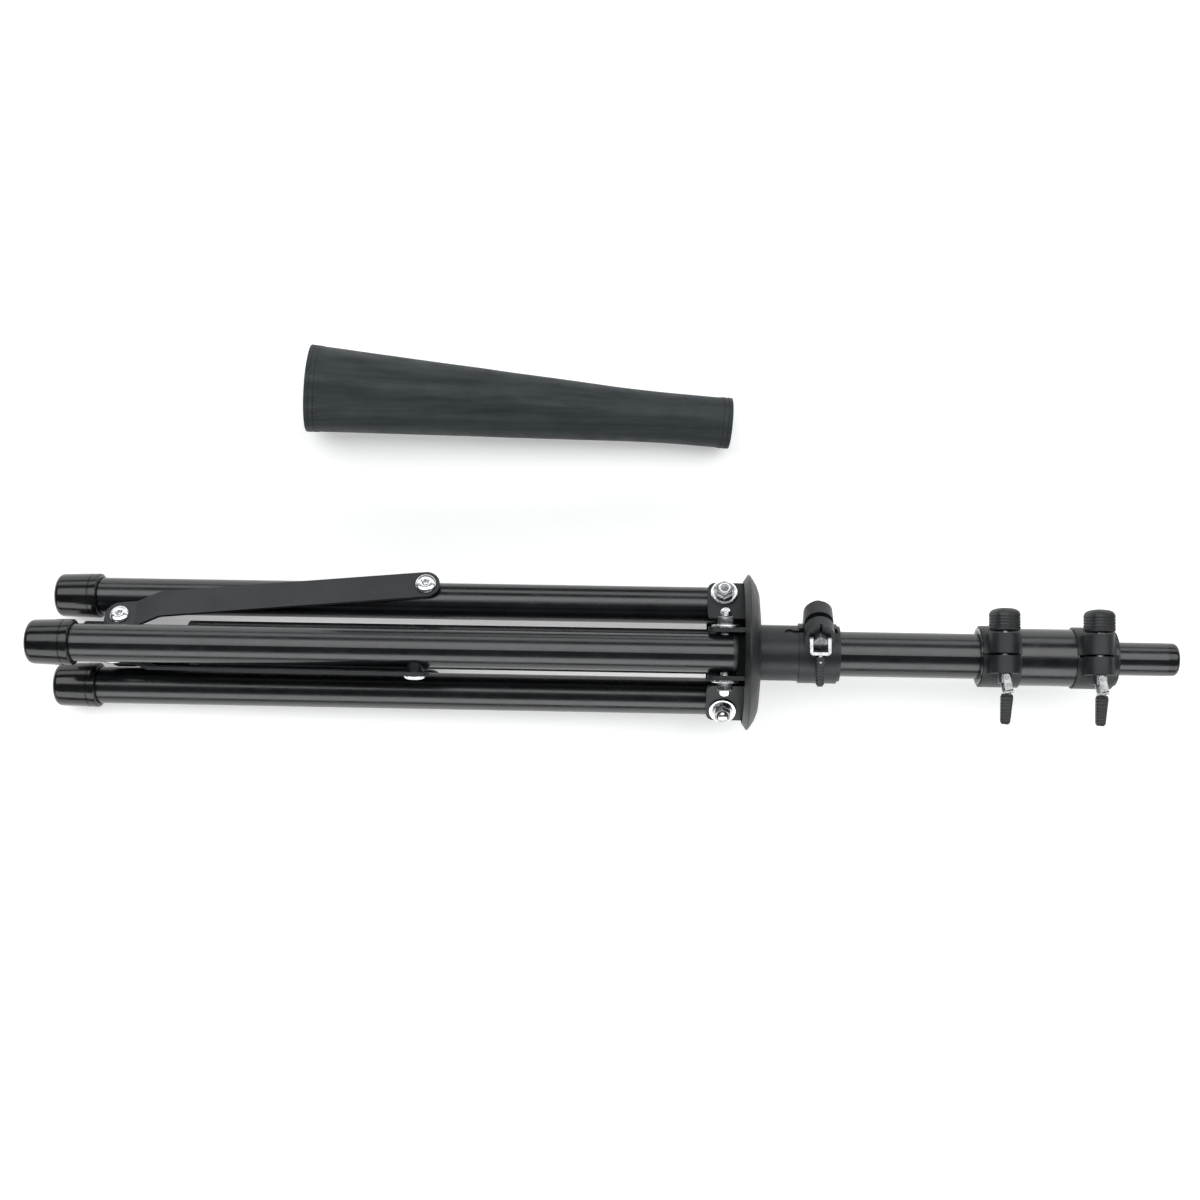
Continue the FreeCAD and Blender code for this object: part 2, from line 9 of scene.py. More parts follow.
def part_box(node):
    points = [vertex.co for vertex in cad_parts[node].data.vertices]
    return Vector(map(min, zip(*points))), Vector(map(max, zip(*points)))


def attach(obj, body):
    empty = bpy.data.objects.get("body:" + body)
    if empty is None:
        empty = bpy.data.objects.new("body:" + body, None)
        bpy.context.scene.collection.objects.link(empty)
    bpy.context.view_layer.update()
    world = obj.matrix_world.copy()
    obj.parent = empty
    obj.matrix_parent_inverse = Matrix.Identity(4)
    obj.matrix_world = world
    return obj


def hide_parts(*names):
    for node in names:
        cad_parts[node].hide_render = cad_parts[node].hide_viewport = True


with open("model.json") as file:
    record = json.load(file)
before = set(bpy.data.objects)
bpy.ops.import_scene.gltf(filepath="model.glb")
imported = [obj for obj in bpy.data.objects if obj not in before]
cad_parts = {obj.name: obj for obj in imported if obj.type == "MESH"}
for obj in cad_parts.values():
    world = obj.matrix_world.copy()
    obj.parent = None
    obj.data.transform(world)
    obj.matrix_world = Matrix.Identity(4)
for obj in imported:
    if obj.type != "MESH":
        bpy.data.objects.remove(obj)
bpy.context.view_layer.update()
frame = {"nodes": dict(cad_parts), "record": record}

nodes = frame["nodes"]
joints = {joint["name"]: joint for joint in frame["record"]["behaviour"]["joints"]}
mounts = {mount["name"]: mount for mount in frame["record"]["mounts"]}
mm = 0.001
print("frame loaded")

# places taken from the frame
mastDir = Vector(joints["top_slide"]["axis"])
mastPoint = Vector(mounts["top_spigot"]["pos_m"])


def mastAt(x):  # point on the mast axis above an X position
    return mastPoint + mastDir * ((x - mastPoint.x) / mastDir.x)


def jointPlace(name):
    return Vector(joints[name]["pos_m"])


def jointAxis(name):
    return Vector(joints[name]["axis"])


def poseFrame(origin, along, side):  # local X runs along, local Z is as near side as it can be
    x = along.normalized()
    y = side.cross(x).normalized()
    z = x.cross(y)
    turn = Matrix((x, y, z)).transposed().to_4x4()
    return Matrix.Translation(origin) @ turn


def aroundMast(angle):  # turn about the mast axis
    base = mastAt(0)
    turn = Matrix.Rotation(math.radians(angle), 4, mastDir)
    return Matrix.Translation(base) @ turn @ Matrix.Translation(-base)


cameraSetup = {
    "above": 1.118,  # height over the mast axis
    "along": -0.0034,  # world X
    "across": -0.0428,  # world Y
    "lens": 50,  # mm, as is the sensor's width
    "sensor": 36,
    "farthest": 20,
    "roll": 0.93,  # degrees
}


def makeCamera(s):
    height = mastAt(s["along"]).z + s["above"]
    turn = (0, 0, math.radians(s["roll"]))
    bpy.ops.object.camera_add(location=(s["along"], s["across"], height), rotation=turn)
    cam = bpy.context.object
    cam.name = "topCamera"
    cam.data.lens = s["lens"]
    cam.data.sensor_width = s["sensor"]
    cam.data.clip_end = s["farthest"]
    bpy.context.scene.camera = cam


makeCamera(cameraSetup)
print("camera placed")

lampTint = (0.985, 0.995, 1.0)
lampAim = {"along": 0.05, "height": 0.05}
lightSetup = {  # long soft boxes, each turned about the mast from straight above
    "overhead": {"turn": -21, "reach": 1.55, "long": 4.2, "wide": 0.95, "power": 35},
    "front": {"turn": 58, "reach": 1.5, "long": 4.2, "wide": 0.85, "power": 32},
    "back": {"turn": -69, "reach": 1.6, "long": 4.2, "wide": 0.6, "power": 16},
}
floorSetup = {"size": 30, "drop": 0.0005, "paint": (0.9, 0.9, 0.9), "rough": 0.9, "sheen": 0.1, "glow": 0.3}
worldSetup = {"tint": (0.93, 0.97, 1.0), "strength": 0.05}


def softBox(name, s):
    turn = math.radians(s["turn"])
    across = cameraSetup["across"]
    spot = Vector((lampAim["along"], across - math.sin(turn) * s["reach"], math.cos(turn) * s["reach"]))
    bpy.ops.object.light_add(type="AREA", location=spot)
    lamp = bpy.context.object
    lamp.name = name
    lamp.data.shape = "RECTANGLE"
    lamp.data.size = s["long"]
    lamp.data.size_y = s["wide"]
    lamp.data.energy = s["power"]
    lamp.data.color = lampTint
    aim = Vector((lampAim["along"], across, lampAim["height"])) - spot
    lamp.rotation_euler = aim.to_track_quat("-Z", "Y").to_euler()


def makeWorld(s):
    world = bpy.data.worlds.new("studio")
    world.use_nodes = True
    back = world.node_tree.nodes["Background"]
    back.inputs["Color"].default_value = (*s["tint"], 1)
    back.inputs["Strength"].default_value = s["strength"]
    bpy.context.scene.world = world


def makeFloor(s):
    bpy.ops.mesh.primitive_plane_add(size=s["size"], location=(0, 0, -s["drop"]))
    floor = bpy.context.object
    floor.name = "floor"
    mat = bpy.data.materials.new("paleFloor")
    mat.use_nodes = True
    paint = mat.node_tree.nodes["Principled BSDF"]
    paint.inputs["Base Color"].default_value = (*s["paint"], 1)
    paint.inputs["Roughness"].default_value = s["rough"]
    paint.inputs["Specular IOR Level"].default_value = s["sheen"]
    paint.inputs["Emission Color"].default_value = (1, 1, 1, 1)
    paint.inputs["Emission Strength"].default_value = s["glow"]
    floor.data.materials.append(mat)


for boxName, boxSetup in lightSetup.items():
    softBox(boxName, boxSetup)
makeWorld(worldSetup)
makeFloor(floorSetup)
bpy.context.scene.view_settings.view_transform = "Standard"
print("lights and floor placed")


edgeBand = (0.98, 0.8)  # how far the rounded and the flat normal agree, off an edge and on it
wearScale = 260
patchBand = (0.3, 0.7)  # noise levels between the smoother and the rougher patches


class Finish:  # one material and short ways to add nodes to it
    def __init__(self, name, sheen=0.5):
        self.mat = bpy.data.materials.new(name)
        self.mat.use_nodes = True
        self.tree = self.mat.node_tree
        self.shader = self.tree.nodes["Principled BSDF"]
        self.shader.inputs["Specular IOR Level"].default_value = sheen
        self.place = self.add("ShaderNodeTexCoord").outputs["Object"]

    def add(self, kind, **values):
        node = self.tree.nodes.new(kind)
        for key, value in values.items():
            setattr(node, key, value)
        return node

    def join(self, out, into):
        self.tree.links.new(out, into)

    def stretched(self, scale, turn=0.0):  # object place with each axis scaled, turned about Z first
        node = self.add("ShaderNodeMapping")
        node.inputs["Scale"].default_value = scale
        node.inputs["Rotation"].default_value = (0, 0, turn)
        self.join(self.place, node.inputs["Vector"])
        return node.outputs["Vector"]

    def noise(self, scale, detail=4.0, rough=0.55, place=None):
        node = self.add("ShaderNodeTexNoise")
        node.inputs["Scale"].default_value = scale
        node.inputs["Detail"].default_value = detail
        node.inputs["Roughness"].default_value = rough
        self.join(place or self.place, node.inputs["Vector"])
        return node.outputs["Fac"]

    def spread(self, value, low, high, start=0.0, end=1.0):
        node = self.add("ShaderNodeMapRange")
        node.inputs["From Min"].default_value = low
        node.inputs["From Max"].default_value = high
        node.inputs["To Min"].default_value = start
        node.inputs["To Max"].default_value = end
        self.join(value, node.inputs["Value"])
        return node.outputs["Result"]

    def times(self, first, second):
        node = self.add("ShaderNodeMath", operation="MULTIPLY")
        self.join(first, node.inputs[0])
        self.join(second, node.inputs[1])
        return node.outputs["Value"]

    def edgeWear(self, reach, band):  # 1 along sharp outer edges, broken up by noise
        node = self.add("ShaderNodeBevel", samples=4)
        node.inputs["Radius"].default_value = reach
        flat = self.add("ShaderNodeNewGeometry").outputs["Normal"]
        dot = self.add("ShaderNodeVectorMath", operation="DOT_PRODUCT")
        self.join(node.outputs["Normal"], dot.inputs[0])
        self.join(flat, dot.inputs[1])
        edge = self.spread(dot.outputs["Value"], *edgeBand)
        return self.times(edge, self.spread(self.noise(wearScale, 4), *band))

    def blendColours(self, value, first, second):
        node = self.add("ShaderNodeMix", data_type="RGBA")
        node.inputs["A"].default_value = (*first, 1)
        node.inputs["B"].default_value = (*second, 1)
        self.join(value, node.inputs["Factor"])
        return node

    def drift(self, look, scale, detail, band, wear=None):  # colour that wanders from dark to pale
        value = self.spread(self.noise(scale, detail), *band)
        self.paint(value, look["dark"], look["pale"], wear, look.get("bare"))

    def patches(self, look, scale, detail):  # roughness that varies in patches
        value = self.spread(self.noise(scale, detail), *patchBand, *look["rough"])
        self.join(value, self.shader.inputs["Roughness"])

    def paint(self, value, first, second, wear=None, bare=None):
        out = self.blendColours(value, first, second).outputs["Result"]
        if wear is not None:
            over = self.blendColours(wear, first, bare)
            self.join(out, over.inputs["A"])
            out = over.outputs["Result"]
        self.join(out, self.shader.inputs["Base Color"])

    def bump(self, layers):  # layers of (height, depth in metres)
        last = None
        for height, depth in layers:
            node = self.add("ShaderNodeBump")
            node.inputs["Strength"].default_value = 1.0
            node.inputs["Distance"].default_value = depth
            self.join(height, node.inputs["Height"])
            if last:
                self.join(last, node.inputs["Normal"])
            last = node.outputs["Normal"]
        self.join(last, self.shader.inputs["Normal"])


bareEdge = (0.05, 0.052, 0.055)
coatLook = {
    "dark": (0.0034, 0.0045, 0.0053), "pale": (0.007, 0.0086, 0.0098), "bare": bareEdge,
    "rough": (0.2, 0.28), "sheen": 0.7,
}
satinLook = {
    "dark": (0.0038, 0.005, 0.006), "pale": (0.008, 0.01, 0.0115), "bare": bareEdge,
    "rough": (0.4, 0.5), "sheen": 0.5,
}
strapLook = {
    "dark": (0.0095, 0.0122, 0.0148), "pale": (0.017, 0.021, 0.0248), "bare": bareEdge,
    "rough": (0.42, 0.52), "sheen": 0.5,
}
capLook = {
    "dark": (0.004, 0.0043, 0.0046), "pale": (0.008, 0.0085, 0.009), "grain": 0.000006,
    "rough": (0.12, 0.22), "sheen": 0.5,
}
nylonLook = {
    "dark": (0.0075, 0.0084, 0.0092), "pale": (0.015, 0.0168, 0.0184), "grain": 0.00001,
    "rough": (0.36, 0.5), "sheen": 0.5,
}
threadLook = {
    "dark": (0.012, 0.014, 0.016), "pale": (0.03, 0.033, 0.036), "grain": 0.00003,
    "rough": (0.6, 0.8), "sheen": 0.3,
}
skinLook = {
    "dark": (0.0062, 0.0098, 0.0118), "pale": (0.0215, 0.029, 0.0325), "streakBand": (0.36, 0.64),
    "rough": (0.5, 0.66), "sheen": 0.33, "streaks": (7, 150, 150), "wrinkles": (30, 600, 600),
}
zincLook = {"dark": (0.55, 0.56, 0.57), "pale": (0.88, 0.89, 0.9), "rough": (0.16, 0.3)}
forkLook = {"dark": (0.2, 0.205, 0.21), "pale": (0.42, 0.425, 0.43), "rough": (0.2, 0.34)}
steelLook = {"dark": (0.12, 0.122, 0.126), "pale": (0.3, 0.305, 0.31), "rough": (0.2, 0.38)}
sleeveDir = Vector(mounts["sleeve_neck"]["axis"])


def powderCoat(name, look):  # sprayed coat: fine orange peel, slight colour drift, rubbed edges
    peel = 0.000012
    f = Finish(name, look["sheen"])
    wear = f.edgeWear(0.0007, (0.58, 0.72))
    f.drift(look, 35, 3, (0.35, 0.65), wear)
    f.patches(look, 90, 5)
    f.bump([(f.noise(900, 2), peel), (f.noise(3500, 2), peel * 0.5)])
    return f.mat


def mouldedPlastic(name, look, ridgeScale=None):  # plain, or with ridges across Y
    ridgeDepth = 0.0004
    f = Finish(name, look["sheen"])
    f.drift(look, 60, 4, (0.35, 0.7))
    f.patches(look, 220, 4)
    layers = [(f.noise(1800, 3), look["grain"])]
    if ridgeScale:
        ridge = f.add("ShaderNodeTexWave", wave_type="BANDS", bands_direction="Y", wave_profile="SIN")
        ridge.inputs["Scale"].default_value = ridgeScale
        f.join(f.place, ridge.inputs["Vector"])
        layers.insert(0, (ridge.outputs["Fac"], ridgeDepth))
    f.bump(layers)
    return f.mat


def platedSteel(name, look):
    grain = 0.000005
    f = Finish(name)
    f.shader.inputs["Metallic"].default_value = 1.0
    f.drift(look, 300, 5, (0.3, 0.6))
    f.patches(look, 700, 4)
    f.bump([(f.noise(1500, 3), grain)])
    return f.mat


def rubberSkin(name, look):  # matte skin with lengthwise streaks
    wrinkleDepth, grain = 0.00004, 0.00002
    f = Finish(name, look["sheen"])
    turn = math.atan2(sleeveDir.y, sleeveDir.x)
    streaks = f.noise(1, 4, 0.6, f.stretched(look["streaks"], -turn))
    f.paint(f.spread(streaks, *look["streakBand"]), look["dark"], look["pale"])
    f.patches(look, 80, 4)
    wrinkles = f.noise(1, 3, 0.5, f.stretched(look["wrinkles"], -turn))
    f.bump([(wrinkles, wrinkleDepth), (f.noise(2600, 2), grain)])
    return f.mat


coat = powderCoat("blackPowderCoat", coatLook)
satin = powderCoat("satinCoat", satinLook)
strapCoat = powderCoat("strapCoat", strapLook)
grip = mouldedPlastic("ribbedGrip", nylonLook, 150)
capVinyl = mouldedPlastic("glossyCapVinyl", capLook)
nylon = mouldedPlastic("blackNylon", nylonLook)
zinc = platedSteel("brightZinc", zincLook)
duskSteel = platedSteel("duskySteel", steelLook)
forkSteel = platedSteel("forkSteel", forkLook)
skin = rubberSkin("slateSkin", skinLook)
thread = mouldedPlastic("darkThread", threadLook)
slotFinish = {
    "black_coat": coat,
    "black_cap": capVinyl,
    "black_plastic": nylon,
    "bright_steel": zinc,
    "sleeve_skin": skin,
}
# finishes that differ from their slot's, by the start of the node's name; the last match holds
kindFinish = [
    ("hub_", satin), ("leg_bracket", satin), ("clamp_band", satin), ("mast_collar", satin),
    ("brace_", strapCoat), ("brace_rivet", zinc), ("lever_handle", grip), ("lever_fork", forkSteel),
    ("clamp_bolt", duskSteel), ("lever_pin", duskSteel),
]
nodeSlots = {s["node"]: s["material_slot"] for s in frame["record"]["subparts"]}
for nodeName, part in nodes.items():
    finish = slotFinish[nodeSlots[nodeName]]
    for start, other in kindFinish:
        if nodeName.startswith(start):
            finish = other
    for place in part.material_slots:
        place.material = finish
print("finishes given to", len(nodes), "nodes")


def pickNothing():
    if bpy.context.object and bpy.context.object.mode != "OBJECT":
        bpy.ops.object.mode_set(mode="OBJECT")
    bpy.ops.object.select_all(action="DESELECT")


def pickOnly(piece):
    pickNothing()
    piece.select_set(True)
    bpy.context.view_layer.objects.active = piece


sameSpot = 2e-6  # points nearer than this are merged


def turnedPiece(name, profile, sides, closed=False):  # rings of (x, radius) in mm joined along X
    pickNothing()
    x, r = profile[0]
    bpy.ops.mesh.primitive_circle_add(vertices=sides, radius=r * mm, location=(x * mm, 0, 0),
                                      rotation=(0, math.pi / 2, 0))
    piece = bpy.context.object
    piece.name = name
    bpy.ops.object.transform_apply(location=True, rotation=True, scale=True)
    bpy.ops.object.mode_set(mode="EDIT")
    bpy.ops.mesh.select_mode(type="VERT")  # a bare ring can't be picked in face mode
    bpy.ops.mesh.select_all(action="SELECT")
    if not closed:
        bpy.ops.mesh.edge_face_add()
    for nextX, nextR in profile[1:]:
        bpy.ops.mesh.extrude_region_move(TRANSFORM_OT_translate={"value": ((nextX - x) * mm, 0, 0)})
        bpy.ops.transform.resize(value=(1, nextR / r, nextR / r), center_override=(nextX * mm, 0, 0))
        x, r = nextX, nextR
    bpy.ops.mesh.select_all(action="SELECT")
    bpy.ops.mesh.remove_doubles(threshold=sameSpot)
    bpy.ops.mesh.normals_make_consistent(inside=False)
    bpy.ops.object.mode_set(mode="OBJECT")
    return piece


crownInset = 0.5  # in mm, how far the outer face of a hexagon is drawn in
crownRise = 0.35  # and how far it then stands out


def hexBlock(name, flats, start, end):  # six-sided block along X with chamfered corners
    pickNothing()
    corner = flats / math.sqrt(3) * mm
    middle = (start + end) / 2 * mm
    bpy.ops.mesh.primitive_cylinder_add(vertices=6, radius=corner, depth=(end - start) * mm,
                                        location=(middle, 0, 0), rotation=(0, math.pi / 2, 0))
    piece = bpy.context.object
    piece.name = name
    bpy.ops.object.transform_apply(location=True, rotation=True, scale=True)
    bpy.ops.object.mode_set(mode="EDIT")
    pickFaces(lambda face: face.normal.x > 0.9)
    bpy.ops.mesh.inset(thickness=crownInset * mm)
    bpy.ops.transform.translate(value=(crownRise * mm, 0, 0))
    bpy.ops.object.mode_set(mode="OBJECT")
    soften(piece, crownRise, 3, 25)
    return piece


def pickFaces(test):
    mesh = bmesh.from_edit_mesh(bpy.context.object.data)
    bpy.ops.mesh.select_mode(type="FACE")
    bpy.ops.mesh.select_all(action="DESELECT")
    for face in mesh.faces:
        face.select_set(test(face))
    mesh.select_flush_mode()
    bmesh.update_edit_mesh(bpy.context.object.data)


def soften(piece, width, steps, angle):  # rounded edges, applied
    pickOnly(piece)
    mod = piece.modifiers.new("soften", "BEVEL")
    mod.width = width * mm
    mod.segments = steps
    mod.limit_method = "ANGLE"
    mod.angle_limit = math.radians(angle)
    bpy.ops.object.modifier_apply(modifier=mod.name)


def smooth(piece, angle=35):
    pickOnly(piece)
    bpy.ops.object.shade_smooth_by_angle(angle=math.radians(angle))


def copyTo(piece, name, place):  # copy with its own mesh, placed by a matrix
    copy = piece.copy()
    copy.data = piece.data.copy()
    copy.name = name
    bpy.context.scene.collection.objects.link(copy)
    copy.data.transform(place)
    return copy


def joined(name, parts):
    pickNothing()
    for part in parts:
        part.select_set(True)
    bpy.context.view_layer.objects.active = parts[0]
    bpy.ops.object.join()
    whole = bpy.context.object
    whole.name = name
    return whole


def dress(piece, finish):
    piece.data.materials.clear()
    piece.data.materials.append(finish)


def settle(piece, body, slotName, *stoodFor):
    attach(piece, body)
    if stoodFor:
        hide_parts(*stoodFor)


def discard(piece):
    bpy.data.objects.remove(piece, do_unlink=True)


up = Vector((0, 0, 1))
legTurns = {1: 0, 2: -120, 3: 120}

core = 0.4  # radius of the small flat that closes the end of a turned piece

# rivets in mm from the joint's place: hidden bulb, shank, head and the dimple in the head
legRivet = {"sides": 64, "profile": [
    (-11.9, core), (-11.9, 3.7), (-11.5, 4.3), (-9.2, 4.3), (-8.8, 3.0), (1.4, 3.0), (1.4, 7.0), (1.65, 7.2),
    (2.2, 7.1), (2.9, 6.5), (3.5, 5.5), (3.85, 4.4), (4.0, 3.4), (3.95, 2.7), (3.6, 2.1), (2.8, 1.7),
    (0.2, 1.6), (0.0, core)]}
collarRivet = {"sides": 64, "profile": [
    (-6.9, core), (-6.9, 3.0), (1.4, 3.0), (1.4, 6.4), (1.65, 6.6), (2.1, 6.5), (2.8, 5.9), (3.3, 4.9),
    (3.6, 3.9), (3.75, 3.1), (3.7, 2.5), (3.3, 1.9), (2.6, 1.6), (0.4, 1.5), (0.2, core)]}


def numbered(pattern, k):
    return pattern.replace("#", str(k))


def makeRivets(s, pieceName, fold, body, node):
    master = turnedPiece("rivetMaster", s["profile"], s["sides"])
    dress(master, zinc)
    for k in legTurns:
        joint = numbered(fold, k)
        place = poseFrame(jointPlace(joint), jointAxis(joint), mastDir)
        rivet = copyTo(master, numbered(pieceName, k), place)
        smooth(rivet)
        settle(rivet, numbered(body, k), "bright_steel", numbered(node, k))
    discard(master)


makeRivets(legRivet, "braceRivetHead_#", "leg_fold_#", "leg_#", "brace_rivet_#")
makeRivets(collarRivet, "collarRivetHead_#", "brace_fold_#", "mast", "collar_rivets")
print("rivets made")

# leg hinge hardware, in mm from the middle of the leg along its bolt
hinge = {
    "washerIn": 17.0, "washerOut": 18.8, "washerRadius": 9.0, "washerHole": 3.1, "flats": 10.0,
    "head": 5.4, "nut": 5.4, "pastNut": 3.4, "bolt": 3.0, "threadStep": 0.5, "threadDepth": 0.32,
    "leadIn": 0.4, "core": 0.3, "sides": 40, "washerSides": 72,
}


def makeWasher(s):  # dished washer with a rolled outer edge
    a, b, r, hole = s["washerIn"], s["washerOut"], s["washerRadius"], s["washerHole"]
    profile = [(a, hole), (a, r - 0.3), (a + 0.3, r), (b - 0.5, r), (b - 0.1, r - 0.3), (b, r - 0.9),
               (b - 0.05, r - 2.0), (b - 0.35, r - 2.6), (b - 0.4, r - 4.6), (b - 0.4, hole), (a, hole)]
    return turnedPiece("washerMaster", profile, s["washerSides"], closed=True)


def threadProfile(start, end, s):
    radius, step = s["bolt"], s["threadStep"]
    rings = [(start, radius)]
    x = start
    while x + step < end - s["leadIn"]:
        rings += [(x + step * 0.5, radius - s["threadDepth"]), (x + step, radius)]
        x += step
    return rings + [(end - s["leadIn"], radius), (end, radius - 0.6), (end, s["core"])]


def makeHinges(s):
    seat = s["washerOut"]
    nutEnd = seat + s["nut"]
    headEnd = seat + s["head"]
    washer = makeWasher(s)
    dress(washer, zinc)
    shank = [(-seat, s["core"]), (-seat, s["bolt"])]
    rod = turnedPiece("rodMaster", shank + threadProfile(seat - 6, nutEnd + s["pastNut"], s), s["sides"])
    dress(rod, zinc)
    nut = hexBlock("nutMaster", s["flats"], seat - 0.3, nutEnd - 0.3)
    dress(nut, duskSteel)
    insert = [(nutEnd - 0.5, 4.3), (nutEnd, 4.1), (nutEnd + 0.25, 3.8), (nutEnd + 0.25, 3.05),
              (nutEnd - 0.5, 3.05), (nutEnd - 0.5, 4.3)]
    collar = turnedPiece("collarMaster", insert, s["sides"], closed=True)
    dress(collar, nylon)
    head = hexBlock("headMaster", s["flats"], seat - 0.3, headEnd - 0.5)
    dress(head, duskSteel)
    dish = [(headEnd - 0.6, s["core"]), (headEnd - 0.6, 4.2), (headEnd - 0.15, 4.0), (headEnd, 3.4),
            (headEnd - 0.2, 2.6), (headEnd - 0.35, s["core"])]
    crown = turnedPiece("crownMaster", dish, s["sides"])
    dress(crown, zinc)
    place, axis = jointPlace("hub_fold"), jointAxis("hub_fold")
    for k, angle in legTurns.items():
        turn = aroundMast(angle)
        headSide = turn @ poseFrame(place, axis, mastDir)
        nutSide = turn @ poseFrame(place, -axis, mastDir)
        washers = joined("hingeWashers_%d" % k, [copyTo(washer, "ring", headSide),
                                                 copyTo(washer, "ring", nutSide)])
        bolt = joined("hingeBolt_%d" % k, [copyTo(rod, "rod", nutSide), copyTo(head, "head", headSide),
                                           copyTo(crown, "crown", headSide)])
        nuts = joined("hingeNut_%d" % k, [copyTo(nut, "nut", nutSide), copyTo(collar, "collar", nutSide)])
        for piece, node in ((washers, "leg_washers"), (bolt, "leg_bolts"), (nuts, "leg_nuts")):
            smooth(piece)
            settle(piece, "hub", "bright_steel", node)
    for master in (washer, rod, nut, collar, head, crown):
        discard(master)


makeHinges(hinge)
print("hinge bolts, washers and nuts made")

# knobs of the upper clamps, in mm along the screw from the split
knob = {
    "start": 15.4, "end": 30.35, "radius": 9.0, "neck": 7.6, "sides": 96, "power": 3.2, "turn": 20,
    "grooves": (18.6, 20.6, 22.6, 24.6), "depth": 0.32, "mouthHalf": 0.45, "floorHalf": 0.12,
}


def knobProfile(s):
    r = s["radius"]
    first, last = s["start"], s["end"]
    rings = [(first, core), (first, s["neck"] - 0.2), (first + 0.2, s["neck"]), (first + 0.6, r - 0.6),
             (first + 1.0, r - 0.2), (first + 1.6, r)]
    for groove in s["grooves"]:
        rings += [(groove - s["mouthHalf"], r), (groove - s["floorHalf"], r - s["depth"]),
                  (groove + s["floorHalf"], r - s["depth"]), (groove + s["mouthHalf"], r)]
    return rings + [(last - 4.6, r), (last - 3.3, r - 0.2), (last - 2.2, r - 0.75), (last - 1.3, r - 1.6),
                    (last - 0.6, r - 2.9), (last - 0.2, r - 4.4), (last, r - 6.2), (last, core)]


def squared(piece, power):  # a round section drawn out towards a rounded square
    for vert in piece.data.vertices:
        radius = math.hypot(vert.co.y, vert.co.z)
        across, high = abs(vert.co.y) / radius, abs(vert.co.z) / radius
        factor = 1 / (across ** power + high ** power) ** (1 / power)
        vert.co.y *= factor
        vert.co.z *= factor


def makeKnob(s):
    whole = turnedPiece("knobMaster", knobProfile(s), s["sides"])
    squared(whole, s["power"])
    whole.data.transform(Matrix.Rotation(math.radians(s["turn"]), 4, "X"))
    dress(whole, nylon)
    return whole


def placeKnobs(s):
    master = makeKnob(s)
    for k in (2, 3):
        turn = "clamp_turn_%d" % k
        cap = copyTo(master, "clampKnob_%d" % k, poseFrame(jointPlace(turn), -jointAxis(turn), up))
        smooth(cap)
        settle(cap, "coupling", "black_plastic", "clamp_cap_%d" % k)
    discard(master)


placeKnobs(knob)
print("clamp knobs made")

# foot caps, in mm from the closed end
footCap = {"radius": 14.75, "length": 29.5, "bore": 12.5, "floor": 4.0, "sides": 96}


def capProfile(s):
    r = s["radius"]
    end = s["length"]
    closedEnd = [(1.3, core), (1.3, 3.2), (0.9, 3.6), (0.3, 4.0), (0.0, 4.6), (0.0, r - 3.4), (0.2, r - 2.4),
                 (0.7, r - 1.5), (1.5, r - 0.75), (2.6, r - 0.25), (4.0, r)]
    ringAndLip = [(20.0, r + 0.35), (23.0, r + 0.4), (23.3, r - 0.1), (23.9, r - 0.15), (24.3, r + 0.45),
                  (28.4, r + 0.55), (28.9, r + 0.35), (29.3, r - 0.15), (end, r - 0.85)]
    inside = [(end, s["bore"] + 0.35), (end - 0.6, s["bore"]), (s["floor"], s["bore"]), (s["floor"], core)]
    return closedEnd + ringAndLip + inside


def makeFootCaps(s):
    master = turnedPiece("capMaster", capProfile(s), s["sides"])
    dress(master, capVinyl)
    for k in legTurns:
        low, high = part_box("foot_cap_%d" % k)
        middle = (low + high) / 2
        start = middle - mastDir * (s["length"] / 2 * mm)
        cap = copyTo(master, "footCapVinyl_%d" % k, poseFrame(start, mastDir, up))
        smooth(cap)
        settle(cap, "leg_%d" % k, "black_cap", "foot_cap_%d" % k)
    discard(master)


makeFootCaps(footCap)
print("foot caps made")

# tapered sleeve, in mm from its mouth
sleeve = {
    "length": 289.0, "neckLength": 55.0, "mouth": 29.6, "neck": 17.5, "wall": 2.2, "blend": 26.0,
    "sides": 160, "bodyRings": 60, "lip": 0.3, "sag": 0.5, "rippleScale": 0.05,
    "hem": 8.6, "hemRise": 0.28, "hemEdge": 0.5, "rows": (3.0, 6.4), "rowDip": 0.22, "rowHalf": 0.9,
    "stitchLength": 1.9, "stitchRadius": 0.34, "stitchSink": 0.1, "stitches": (62, 38),
    "crease": 0.022, "creaseSpan": 58, "creaseFade": 30,
    # rings from a rim inwards, close together at the hem and its stitch rows
    "rimPlaces": [0.0, 0.25, 0.5, 1.4, 2.1, 2.6, 3.0, 3.4, 3.9, 4.7, 5.5, 6.0, 6.4, 6.8, 7.3, 8.2, 8.6, 8.85,
                  9.1, 11.0],
}


def sleeveRadius(x, s):  # outer radius before hems
    kink = s["length"] - s["neckLength"]
    slope = (s["mouth"] - s["neck"]) / kink
    t = (x - kink + s["blend"]) / (2 * s["blend"])
    if t <= 0:
        return s["mouth"] - slope * x
    if t >= 1:
        return s["neck"]
    full = s["neck"] + slope * s["blend"]
    return full - slope * 2 * s["blend"] * (t - t * t / 2)


def hemRise(d, s):  # extra radius at a distance in from a rim
    if d < s["hemEdge"]:
        return s["hemRise"] * d / s["hemEdge"]
    rise = s["hemRise"]
    if d >= s["hem"]:
        rise *= max(0.0, 1 - (d - s["hem"]) / s["hemEdge"])
    for row in s["rows"]:
        rise -= s["rowDip"] * max(0.0, 1 - abs(d - row) / s["rowHalf"])
    return rise


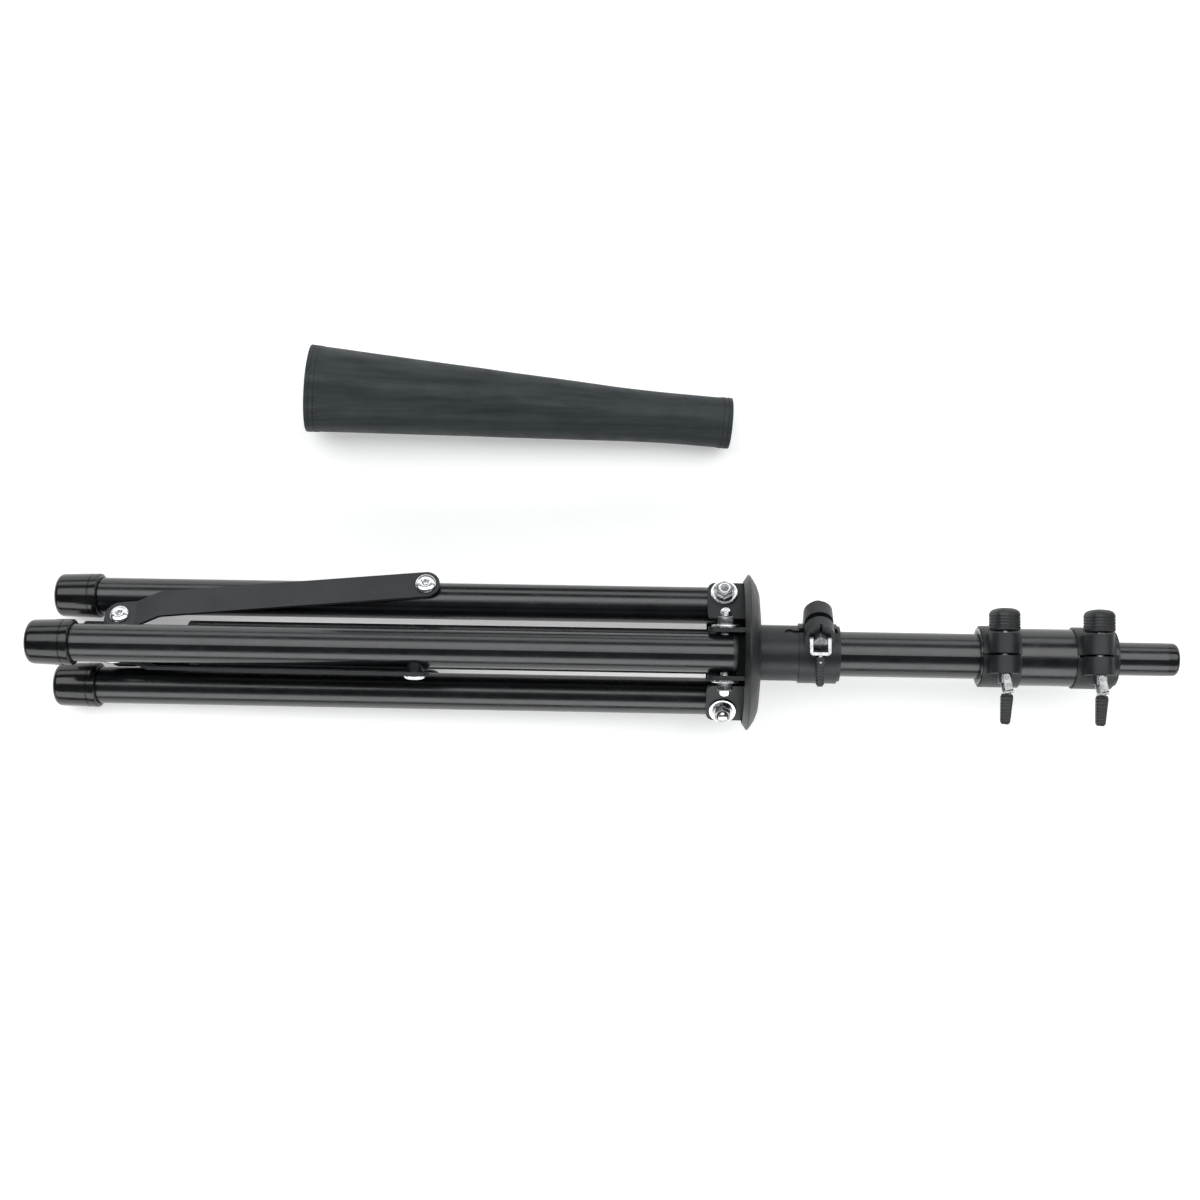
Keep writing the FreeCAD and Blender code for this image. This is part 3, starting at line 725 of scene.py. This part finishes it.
def sleeveProfile(s):
    length = s["length"]
    kink = length - s["neckLength"]
    edge = s["rimPlaces"]
    inner = edge[-1]
    count = s["bodyRings"]
    body = [inner + (length - 2 * inner) * i / count for i in range(1, count)]
    places = edge + body + [length - d for d in reversed(edge)]
    outside = [(x, sleeveRadius(x, s) + hemRise(min(x, length - x), s)) for x in places]
    neckBore = s["neck"] - s["wall"]
    mouthBore = s["mouth"] - s["wall"]
    middleBore = (s["neck"] + s["mouth"]) / 2 - s["wall"]
    inside = [(length, neckBore + s["lip"]), (length - 0.5, neckBore), (kink, neckBore),
              (kink / 2, middleBore), (0.5, mouthBore), (0.0, mouthBore + s["lip"])]
    return outside + inside + [outside[0]]


def creaseFactor(y, z, s):  # flatter on the near side of a lengthwise fold along the top
    angle = math.degrees(math.atan2(-y, z))
    if 0 < angle < s["creaseSpan"]:
        return 1 - s["crease"] * math.sin(math.pi * angle / s["creaseSpan"])
    return 1.0


def makeSleeve(s):
    tube = turnedPiece("slateSleeve", sleeveProfile(s), s["sides"], closed=True)
    for vert in tube.data.vertices:
        fade = min(vert.co.x, s["length"] * mm - vert.co.x) / (s["creaseFade"] * mm)
        factor = 1 + (creaseFactor(vert.co.y, vert.co.z, s) - 1) * min(1.0, max(0.0, fade))
        vert.co.y *= factor
        vert.co.z *= factor
    ripple = bpy.data.textures.new("softRipple", "CLOUDS")
    ripple.noise_scale = s["rippleScale"]
    pickOnly(tube)
    mod = tube.modifiers.new("ripple", "DISPLACE")
    mod.texture = ripple
    mod.strength = s["sag"] * mm
    mod.mid_level = 1.0  # only ever inwards
    bpy.ops.object.modifier_apply(modifier=mod.name)
    start = Vector(mounts["sleeve_neck"]["pos_m"]) - sleeveDir * ((s["length"] - s["neckLength"] / 2) * mm)
    place = poseFrame(start, sleeveDir, up)
    tube.data.transform(place)
    dress(tube, skin)
    smooth(tube, 50)
    settle(tube, "sleeve", "sleeve_skin", "tapered_sleeve")
    makeStitches(s, place)


def makeStitches(s, place):
    pickNothing()
    bpy.ops.mesh.primitive_uv_sphere_add(segments=8, ring_count=6, radius=s["stitchRadius"] * mm)
    seed = bpy.context.object
    seed.scale = (1, s["stitchLength"] / s["stitchRadius"] / 2, 1)
    bpy.ops.object.transform_apply(location=True, rotation=True, scale=True)
    for end, name in ((0, "mouthStitches"), (1, "neckStitches")):
        loops = []
        count = s["stitches"][end]
        for row in s["rows"]:
            x = s["length"] - row if end else row
            radius = sleeveRadius(x, s) - s["stitchSink"]
            lift = Matrix.Translation((x * mm, 0, radius * mm))
            for i in range(count):
                spin = Matrix.Rotation(2 * math.pi * i / count, 4, "X")
                loops.append(copyTo(seed, "stitch", place @ spin @ lift))
        stitching = joined(name, loops)
        dress(stitching, thread)
        smooth(stitching, 60)
        settle(stitching, "sleeve", "sleeve_skin")
    discard(seed)


makeSleeve(sleeve)
print("sleeve and its stitching made")
